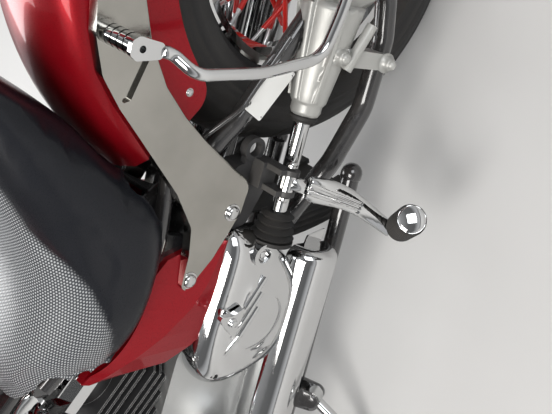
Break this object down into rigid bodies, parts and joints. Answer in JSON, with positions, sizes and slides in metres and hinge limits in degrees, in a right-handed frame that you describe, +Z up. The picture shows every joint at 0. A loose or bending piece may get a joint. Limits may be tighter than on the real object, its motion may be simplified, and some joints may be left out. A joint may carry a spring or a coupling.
{
  "type": "cruiser motorcycle",
  "caption": "Cruiser motorcycle with shaft drive, air-cooled V engine, wire wheels, deep fenders and luggage rails, leaning on its side stand",
  "frame": {"origin": "on the ground below the middle of the leaning machine's bounding box", "axes": "+X forward, +Y to the rider's left, +Z up; the machine leans 10 degrees to its left about X"},
  "size_m": [2.3902, 0.9676, 1.3237],
  "materials": {
    "black_frame": "gloss black enamel",
    "chrome": "bright chrome plate",
    "red_paint": "candy red lacquer",
    "vinyl": "black vinyl with a stippled middle",
    "black_plastic": "dull black",
    "aluminium": "cast and machined",
    "engine_black": "black with bright fin edges",
    "tyre": "black road tyre",
    "spoke_red": "red sleeves over bright spokes",
    "disc_steel": "ground steel",
    "grip_rubber": "black rubber",
    "lamp_glass": "clear",
    "red_lens": "red lens",
    "amber_lens": "amber lens in a bright cup",
    "mirror": "mirror glass in a bright shell"
  },
  "bodies": {
    "chassis": {"frame_cradle_left": "black_frame", "frame_cradle_right": "black_frame", "frame_spine": "black_frame", "seat_frame": "black_frame", "swingarm": "black_frame", "rear_axle": "chrome", "rear_brake": "black_frame", "driveshaft": "chrome", "shaft_boot": "grip_rubber", "final_drive": "aluminium", "rear_fender": "red_paint", "inner_mudguard": "black_plastic", "fender_struts": "chrome", "luggage_rails": "chrome", "rail_standoffs": "chrome", "seat": "vinyl", "pillion_pad": "vinyl", "fuel_tank": "red_paint", "console": "chrome", "side_covers": "red_paint", "crankcase": "aluminium", "cylinders": "engine_black", "rocker_covers": "chrome", "engine_cover_left": "chrome", "engine_cover_right": "chrome", "air_cleaner": "chrome", "exhausts": "chrome", "foot_controls": "chrome", "peg_brackets": "black_frame", "tail_lamp": "chrome", "tail_lens": "red_lens", "plate_bracket": "black_plastic", "rear_signals": "amber_lens"},
    "steering": {"fork_legs": "aluminium", "triple_clamps": "chrome", "fork_covers": "chrome", "handlebar": "chrome", "grips": "grip_rubber", "hand_controls": "chrome", "mirrors": "mirror", "headlight": "chrome", "headlight_lens": "lamp_glass", "front_signals": "amber_lens", "front_fender": "red_paint", "front_axle": "chrome", "front_caliper": "aluminium"},
    "front_wheel": {"front_tyre": "tyre", "front_rim": "chrome", "front_spokes": "spoke_red", "front_disc": "disc_steel"},
    "rear_wheel": {"rear_tyre": "tyre", "rear_rim": "chrome", "rear_spokes": "spoke_red"},
    "passenger_peg_left": {"passenger_peg_left": "chrome", "peg_rubber_left": "grip_rubber"},
    "passenger_peg_right": {"passenger_peg_right": "chrome", "peg_rubber_right": "grip_rubber"},
    "side_stand": {"side_stand": "disc_steel"}
  },
  "joints": [
    {"name": "steering_turn", "type": "hinge", "parent": "chassis", "child": "steering", "pos_m": [0.44929, -0.04425, 0.80392], "axis": [-0.5736, 0.1422, 0.8067], "range_deg": [-34, 34]},
    {"name": "front_wheel_spin", "type": "hinge", "parent": "steering", "child": "front_wheel", "pos_m": [0.87058, -0.13057, 0.31442], "axis": [0, 0.9848, -0.1736], "continuous": true},
    {"name": "rear_wheel_spin", "type": "hinge", "parent": "chassis", "child": "rear_wheel", "pos_m": [-0.75442, -0.12987, 0.31835], "axis": [0, 0.9848, -0.1736], "continuous": true},
    {"name": "side_stand_fold", "type": "hinge", "parent": "chassis", "child": "side_stand", "pos_m": [0.01558, -0.01607, 0.11145], "axis": [0.1428, 0.618, 0.7731], "range_deg": [0, 95]},
    {"name": "passenger_peg_left_fold", "type": "hinge", "parent": "chassis", "child": "passenger_peg_left", "pos_m": [-0.41642, 0.03464, 0.32996], "axis": [1, 0, 0], "range_deg": [0, 100]},
    {"name": "passenger_peg_right_fold", "type": "hinge", "parent": "chassis", "child": "passenger_peg_right", "pos_m": [-0.41642, -0.2805, 0.38553], "axis": [-1, 0, 0], "range_deg": [-30, 38]}
  ]
}
